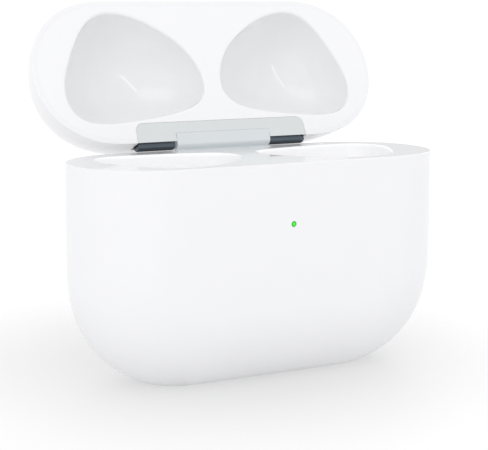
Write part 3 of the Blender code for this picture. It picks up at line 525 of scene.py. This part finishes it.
def earbud_tray():
    """Insert of the body with the two wells. Inside the wells it has a brighter white with a faint glow, which is
    painted light.
    """
    solids = [("UNION", skin(well_rings(side, SKIN))) for side in (-1, 1)]
    cuts = [("DIFFERENCE", skin(mouth_rings(egg(side, WELL_SCALE), BODY_TOP, -1) + well_rings(side, 0)[1:]))
            for side in (-1, 1)]
    slot_half = KNUCKLE_HALF + 0.25
    cuts.append(("DIFFERENCE", block((-slot_half, LEAF_FRONT - 0.15, 20), (slot_half, DEPTH, HINGE_Z))))
    cuts += [("DIFFERENCE", turned([(PIN_HOLE, 4), (PIN_HOLE, 7)], centre=(x, 0, 0), steps=COARSE_STEPS))
             for _, x in contact_places()]
    tray = combine(insert_face(BODY_TOP, 1), solids + cuts)
    tray = piece("earbud_tray_look", tray, "white_satin", "base", CASE, ["earbud_tray"])
    # Faces below the tray's face take the brighter glowing white: painted light inside the wells.
    tray.data.materials.append(LOOKS["well_painted_light"])
    well_start = (BODY_TOP - 0.02) * MM
    for face in tray.data.polygons:
        face.material_index = int(face.center.z < well_start)


def plate_outline(margin, back, steps=12):
    """Outline of the lid's hinge plate, grown by margin, with round front corners."""
    half, front, radius = PLATE_HALF + margin, PLATE_FRONT - margin, PLATE_CORNER + margin
    return ([(half, back), (-half, back)] + arc((radius - half, front + radius), radius, 180, 270, steps)
            + arc((half - radius, front + radius), radius, 270, 360, steps))


def lid_liner():
    """Insert of the lid with the two hollows, recessed for the hinge plate and its leaf."""
    solids = [("UNION", skin(hollow_rings(side, LID_SKIN))) for side in (-1, 1)]
    cuts = [("DIFFERENCE", skin(mouth_rings(egg(side), LID_BASE, 1) + hollow_rings(side, 0)[1:]))
            for side in (-1, 1)]
    cuts.append(("DIFFERENCE", prism(plate_outline(0.02, DEPTH), LID_BASE - 1, LID_BASE + 0.95)))
    cuts.append(("DIFFERENCE", block((-PLATE_HALF, LID_LEAF_FRONT - 0.17, LID_BASE + PLATE_THICK + 0.1),
                                     (PLATE_HALF, DEPTH, LID_LEAF_TOP + 2.2))))
    liner = combine(insert_face(LID_BASE, -1), solids + cuts)
    piece("lid_liner_look", liner, "white_satin", "lid", LID, ["lid_liner"])


# ---------------------------------------------------------------- hinge

def knuckle_curl(first, last, steps):
    """Section of the knuckle round the pin, (y, z), round but for its flattened face."""
    curl = []
    for angle in np.linspace(first, last, steps + 1):
        reach = min(KNUCKLE_RADIUS, KNUCKLE_FLAT / max(math.cos(angle - FLAT_FACING), 0.5))
        curl.append((HINGE_Y + reach * math.cos(angle), HINGE_Z + reach * math.sin(angle)))
    return curl


def hinge_tongue():
    """Body's half of the hinge: a leaf, a neck and the knuckle round the pin."""
    first = math.pi + math.acos((HINGE_Y - NECK_FRONT) / KNUCKLE_RADIUS)
    last = math.acos((HINGE_BACK - HINGE_Y) / KNUCKLE_RADIUS)
    shoulder = BODY_TOP + 0.2
    profile = [(LEAF_BACK, LEAF_FOOT), (LEAF_FRONT, LEAF_FOOT), (LEAF_FRONT, LEAF_TOP),
               (NECK_FRONT, LEAF_TOP)]
    profile += knuckle_curl(first, last, 60)
    profile += [(HINGE_BACK, shoulder), (NECK_BACK, shoulder),
                (NECK_BACK, NECK_START + NECK_BACK - LEAF_BACK), (LEAF_BACK, NECK_START)]
    bore = turned([(PIN_BORE, -10), (PIN_BORE, 10)], "X", (0, HINGE_Y, HINGE_Z), COARSE_STEPS)
    tongue = soften(combine(prism_x(profile, -KNUCKLE_HALF, KNUCKLE_HALF), [("DIFFERENCE", bore)]), 0.03)
    tongue = piece("hinge_tongue_look", tongue, "hinge_metal", "base", CASE, ["hinge_body_bracket"])
    # The knuckle gets the darker glowing copy of the hinge metal: painted light.
    tongue.data.materials[0] = LOOKS["knuckle_metal_painted_glow"]


def hinge_plate():
    """Lid's half of the hinge: a plate in the liner's face, notched for the knuckle, and a leaf."""
    reach, notch_half = KNUCKLE_RADIUS + KNUCKLE_CLEARANCE, KNUCKLE_HALF + 0.03
    leaf_half = PLATE_HALF - 0.4
    plate = combine(prism(plate_outline(0.0, PLATE_BACK), LID_BASE, LID_BASE + PLATE_THICK), [
        ("UNION", block((-leaf_half, LID_LEAF_FRONT, LID_BASE + PLATE_THICK / 2),
                        (leaf_half, LID_LEAF_BACK, LID_LEAF_TOP))),
        ("DIFFERENCE", turned([(reach, -notch_half), (reach, notch_half)], "X", (0, HINGE_Y, HINGE_Z),
                              FINE_STEPS)),
        ("DIFFERENCE", block((-notch_half, HINGE_Y, LID_BASE - 1), (notch_half, DEPTH, HINGE_Z)))])
    piece("hinge_plate_look", soften(plate, 0.05), "hinge_metal", "lid", LID, ["hinge_lid_plate"])


def hinge_barrel(word, side):
    """Barrel round the pin beside the knuckle, cut flat where it meets the plate."""
    soft = 0.1
    ends = [(BARREL_RADIUS - soft, BARREL_START), (BARREL_RADIUS, BARREL_START + soft),
            (BARREL_RADIUS, BARREL_END - soft), (BARREL_RADIUS - soft, BARREL_END)]
    profile = [(r, side * x) for r, x in ends + [(PIN_BORE, BARREL_END), (PIN_BORE, BARREL_START)]]
    flat_top = LID_BASE + PLATE_THICK + 0.1
    flat = block((-WIDTH, HINGE_Y - 2, LID_BASE - 1), (WIDTH, HINGE_Y + 2, flat_top))
    barrel = combine(turned(profile, "X", (0, HINGE_Y, HINGE_Z), loop=True), [("DIFFERENCE", flat)])
    piece(f"hinge_barrel_{word}_look", soften(barrel, 0.04), "dark_metal", "lid", LID,
          [f"hinge_barrel_{word}"])


# ---------------------------------------------------------------- light, button and inlet

def status_light():
    """Domed lens of the status light, bright in its middle and darker round its edge."""
    profile = [(LED_RADIUS, FRONT + 1.1), (LED_RADIUS, FRONT + 0.12), (LED_RADIUS * 0.85, FRONT + 0.07),
               (LED_RADIUS * 0.45, FRONT + 0.045), (LED_RADIUS * 0.05, FRONT + 0.04)]
    lens = turned(profile, "Y", (0, 0, LED_Z), LIGHT_STEPS)
    lens = piece("led_lens_look", lens, "green_light", "base", CASE, ["led_lens"])
    lens.data.materials.append(LOOKS["green_edge"])
    middle = CASE @ Vector((0, 0, LED_Z))
    bright = LED_RADIUS * 0.5 * MM
    for face in lens.data.polygons:
        reach = math.hypot(face.center.x - middle.x, face.center.z - middle.z)
        face.material_index = int(reach > bright)


def setup_button():
    """Round button, a shade hollow in its face, with a stem and a flange inside."""
    face, edge, dish = BACK - BUTTON_SINK, 0.15, 0.06
    stem, flange, stem_end, flange_low, flange_high = 0.8, 3.2, 8.28, 8.5, 9.05
    profile = [(stem, stem_end), (stem, flange_low), (flange, flange_low), (flange, flange_high),
               (BUTTON_RADIUS, flange_high)]
    profile += [(BUTTON_RADIUS - edge + r, h + face - edge) for r, h in arc((0, 0), edge, 0, 90, 5)]
    profile += [(BUTTON_RADIUS * s, face - dish * (1 - s ** 2)) for s in (0.85, 0.7, 0.5, 0.3, 0.1)]
    button = turned(profile, "Y", (0, 0, BUTTON_Z), FINE_STEPS)
    piece("setup_button_look", button, "white_gloss", "button", CASE, ["setup_button"])


def port_ring(opening, collar):
    """Metal ring round the inlet, its lip rounded inside and out."""
    soft, recess = 0.15, 0.1
    steps = ((opening, 0, FLOOR), (opening, 0, recess + 2 * soft), (opening, 0.1, recess + soft),
             (opening, 0.4, recess), (collar, -0.1, recess), (collar, 0, 0.2), (collar, 0, FLOOR))
    rings = [level(stadium(length + 2 * grow, width + 2 * grow), z) for (length, width), grow, z in steps]
    piece("port_ring_look", skin(rings, loop=True), "hinge_metal", "base", CASE, ["port_ring"])


def port_shell(opening):
    """Steel sleeve of the inlet, open towards the foot."""
    sleeve, end_wall = 0.3, 0.4
    inside = (INLET_LENGTH - 2 * sleeve, INLET_WIDTH - 2 * sleeve)
    cup = [level(stadium(*size), z) for size, z in ((opening, INLET_BACK), (opening, INLET_MOUTH),
                                                    (inside, INLET_MOUTH), (inside, INLET_BACK - end_wall))]
    piece("port_shell_look", skin(cup), "steel", "base", CASE, ["port_shell"])


def port_tongue():
    """Tongue in the middle of the inlet, with a row of gilt pads on each side."""
    tongue = block((-3.3, -0.35, 2.6), (3.3, 0.35, 7.0), 0.12)
    foot = block((-3.5, -0.8, 6.6), (3.5, 0.8, 7.6), 0.05)
    tongue = combine(tongue, [("UNION", foot)])
    piece("port_tongue_look", tongue, "black_plastic", "base", CASE, ["port_tongue"])
    count, pitch, pad_size = 12, 0.5, (0.26, 0.04, 2.0)
    pads = bmesh.new()
    for side in (-1, 1):
        for i in range(count):
            x = (i - (count - 1) / 2) * pitch
            place = Matrix.Translation((x, side * 0.36, 4.2)) @ Matrix.Diagonal((*pad_size, 1))
            bmesh.ops.create_cube(pads, size=1.0, matrix=place)
    piece("port_pads", pads, "gold", "base", CASE)


def contact_pins():
    """Four round-nosed spring contacts, each with a collar that stops it in its block."""
    shank, collar, foot, collar_low, collar_high = 0.4, 0.6, 3.0, 4.3, 4.7
    for word, x in contact_places():
        profile = [(shank, foot), (shank, collar_low), (collar, collar_low), (collar, collar_high),
                   (shank, collar_high)]
        profile += [(max(r, 0.02), PIN_TIP - shank + h) for r, h in arc((0, 0), shank, 0, 90, 8)]
        pin = turned(profile, centre=(x, 0, 0), steps=COARSE_STEPS)
        piece(f"contact_{word}_look", pin, "gold", f"contact_{word}", CASE, [f"contact_pin_{word}"])


def build_pieces():
    """Every piece of the visual model. The solids inside the case stay as the CAD has them."""
    body_shell()
    lid_shell()
    earbud_tray()
    lid_liner()
    hinge_tongue()
    hinge_plate()
    for word, side in (("left", -1), ("right", 1)):
        hinge_barrel(word, side)
    status_light()
    setup_button()
    opening = (INLET_LENGTH, INLET_WIDTH)
    port_ring(opening, (INLET_LENGTH + INLET_COLLAR, INLET_WIDTH + INLET_COLLAR))
    port_shell(opening)
    port_tongue()
    contact_pins()


# ---------------------------------------------------------------- floor, light and camera

# Metres from here on, in the part's frame.
CASE_MIDDLE = Vector((0, 0, 0.025))


def direction(azimuth, elevation):
    """Unit vector away from the case, from angles in degrees; azimuth 0 is straight in front."""
    azimuth, elevation = math.radians(azimuth), math.radians(elevation)
    return Vector((math.sin(azimuth) * math.cos(elevation), -math.cos(azimuth) * math.cos(elevation),
                   math.sin(elevation)))


def from_case(azimuth, elevation, distance):
    """Point at this distance from the middle of the case."""
    return direction(azimuth, elevation) * distance + CASE_MIDDLE


def facing(place, point):
    """Matrix of something that stands at place with its local Z along point."""
    return Matrix.Translation(place) @ point.to_track_quat("Z", "Y").to_matrix().to_4x4()


def softbox(name, place, size, brightness, turn=0.0):
    """Rectangular light facing the case. brightness is relative to the white surroundings."""
    data = bpy.data.lights.new(name, "AREA")
    data.shape = "RECTANGLE"
    data.size, data.size_y = size
    data.energy = brightness * math.pi * size[0] * size[1]
    light = bpy.data.objects.new(name, data)
    towards = (CASE_MIDDLE - place).to_track_quat("-Z", "Y").to_matrix().to_4x4()
    light.matrix_world = Matrix.Translation(place) @ towards @ Matrix.Rotation(math.radians(turn), 4, "Z")
    bpy.context.scene.collection.objects.link(light)


def pale_floor():
    """Floor material that glows with part of its brightness and glows less under and round the case: a painted
    contact shadow.
    """
    material = finish("floor", (0.30, 0.30, 0.302), 0.6, vary=0.001, rough_vary=0.02, grain=60.0, bump=0.0)
    tree = material.node_tree
    place = tree.nodes.new("ShaderNodeTexCoord")
    reach = tree.nodes.new("ShaderNodeVectorMath")
    reach.operation = "LENGTH"
    tree.links.new(place.outputs["Object"], reach.inputs[0])
    # Glow rises from 0.42 under the case to 0.63 six centimetres out: a painted contact shadow, which also dims
    # the light the case's underside gets from the floor.
    ramp = tree.nodes.new("ShaderNodeMapRange")
    ramp.interpolation_type = "SMOOTHSTEP"
    for socket, value in (("From Min", 0.0), ("From Max", 0.06), ("To Min", 0.42), ("To Max", 0.63)):
        ramp.inputs[socket].default_value = value
    tree.links.new(reach.outputs["Value"], ramp.inputs["Value"])
    shader = tree.nodes["Principled BSDF"]
    tree.links.new(ramp.outputs["Result"], shader.inputs["Emission Strength"])
    shader.inputs["Emission Color"].default_value = (1.0, 1.0, 1.0, 1.0)
    return material


def sheet(name, across, up, material, place):
    """Flat rectangle of the studio, given by its half sizes."""
    data = bpy.data.meshes.new(name)
    corners = [(-across, -up, 0), (across, -up, 0), (across, up, 0), (-across, up, 0)]
    data.from_pydata(corners, [], [(0, 1, 2, 3)])
    data.materials.append(material)
    thing = bpy.data.objects.new(name, data)
    thing.matrix_world = place
    bpy.context.scene.collection.objects.link(thing)
    return thing


def studio():
    """White surroundings, pale floor, three soft lights and a card to be mirrored in the tray."""
    world = bpy.data.worlds.new("studio")
    world.use_nodes = True
    bpy.context.scene.world = world
    surroundings = world.node_tree.nodes["Background"]
    surroundings.inputs["Color"].default_value = (1.0, 1.0, 1.0, 1)
    surroundings.inputs["Strength"].default_value = 1.0

    half_floor, below_foot = 6.0, 0.00005
    floor = sheet("floor", half_floor, half_floor, pale_floor(), Matrix.Translation((0, 0, -below_foot)))
    grey = finish("card", (0.70, 0.70, 0.705), 0.7, vary=0.01, bump=0.02)
    behind = from_case(144.5, 6.3, 1.5)
    card = sheet("grey_card", 0.15, 0.08, grey, facing(behind, behind))

    softbox("key_softbox", from_case(-46, 33, 0.9), (0.70, 0.50), 0.75)
    softbox("rear_softbox", from_case(130, 27, 0.9), (0.75, 0.40), 0.8)
    softbox("strip_light", from_case(-12, 15, 0.9), (0.05, 0.50), 2.6, 25.0)
    bpy.context.scene.view_settings.view_transform = "Standard"


def camera():
    """Camera at the photograph's angle, fitted to the outlines of the case."""
    distance, roll = 0.201116, math.radians(0.137)
    target = CASE @ Vector((-1.716, 0, 20.302))
    back = direction(-28.914, 9.137)
    data = bpy.data.cameras.new("camera")
    data.sensor_width = 36.0
    data.lens = 107.23
    data.clip_start = 0.01
    view = bpy.data.objects.new("camera", data)
    view.matrix_world = facing(target + back * distance, back) @ Matrix.Rotation(roll, 4, "Z")
    bpy.context.scene.collection.objects.link(view)
    bpy.context.scene.camera = view


build_pieces()
studio()
camera()
